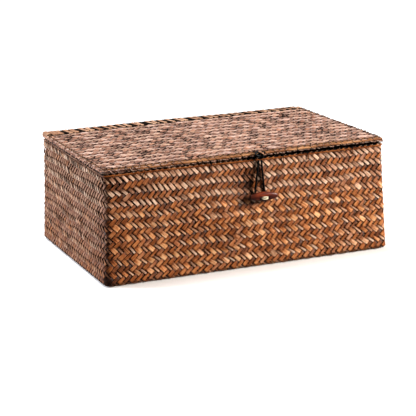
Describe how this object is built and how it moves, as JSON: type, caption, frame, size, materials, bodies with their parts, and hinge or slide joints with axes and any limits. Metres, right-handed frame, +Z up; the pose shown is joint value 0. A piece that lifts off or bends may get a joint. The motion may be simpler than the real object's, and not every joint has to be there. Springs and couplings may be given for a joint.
{
  "type": "woven lidded box",
  "caption": "Rectangular woven storage box on a wire frame, with a flat lid hinged on wound strips, a cord loop on the lid and a wooden toggle on the front.",
  "frame": {"origin": "on the floor, under the middle of the box's rectangle", "axes": "+X along the long front to the right, -Y out of the front with the toggle, +Z up"},
  "size_m": [0.3122, 0.219, 0.1195],
  "materials": {
    "woven_wall": "twill of split leaf strips, light and orange brown, half sheen",
    "woven_lining": "woven leaf strips, matt",
    "woven_lid": "twill of split leaf strips, pinkish tan, half sheen",
    "straw_binding": "smooth split strip, orange brown",
    "hinge_strip": "split strip, light tan",
    "black_wire": "black coated steel wire",
    "tie_thread": "dark thread",
    "elastic_cord": "black twisted cord",
    "toggle_wood": "polished red-brown wood",
    "cream_thread": "cream cotton thread"
  },
  "bodies": {
    "box": {"outer_basket": "woven_wall", "lining": "woven_lining", "rim_binding": "straw_binding", "rim_wire": "black_wire", "base_wire": "black_wire", "corner_post_front_left": "black_wire", "corner_post_front_right": "black_wire", "corner_post_rear_left": "black_wire", "corner_post_rear_right": "black_wire", "rim_tie_1": "tie_thread", "rim_tie_2": "tie_thread", "rim_tie_3": "tie_thread", "rim_tie_4": "tie_thread", "rim_tie_5": "tie_thread", "rim_tie_6": "tie_thread", "rim_tie_7": "tie_thread", "rim_tie_8": "tie_thread", "rim_tie_9": "tie_thread"},
    "toggle": {"toggle": "toggle_wood", "toggle_thread": "cream_thread"},
    "lid": {"lid_top_mat": "woven_lid", "lid_under_mat": "woven_lining", "lid_wire": "black_wire", "lid_edge_band": "straw_binding", "hinge_winding": "hinge_strip", "loop_knot": "elastic_cord"},
    "loop": {"elastic_loop": "elastic_cord"}
  },
  "joints": [
    {"name": "lid_hinge", "type": "hinge", "parent": "box", "child": "lid", "pos_m": [0, 0.1025, 0.11575], "axis": [-1, 0, 0], "range_deg": [0, 180]},
    {"name": "loop_swing", "type": "hinge", "parent": "lid", "child": "loop", "pos_m": [0.012, -0.1065, 0.10945], "axis": [-1, 0, 0], "range_deg": [0, 90]},
    {"name": "toggle_turn", "type": "hinge", "parent": "box", "child": "toggle", "pos_m": [0.014, -0.11, 0.075], "axis": [0, 1, 0], "range_deg": [-90, 90]}
  ]
}
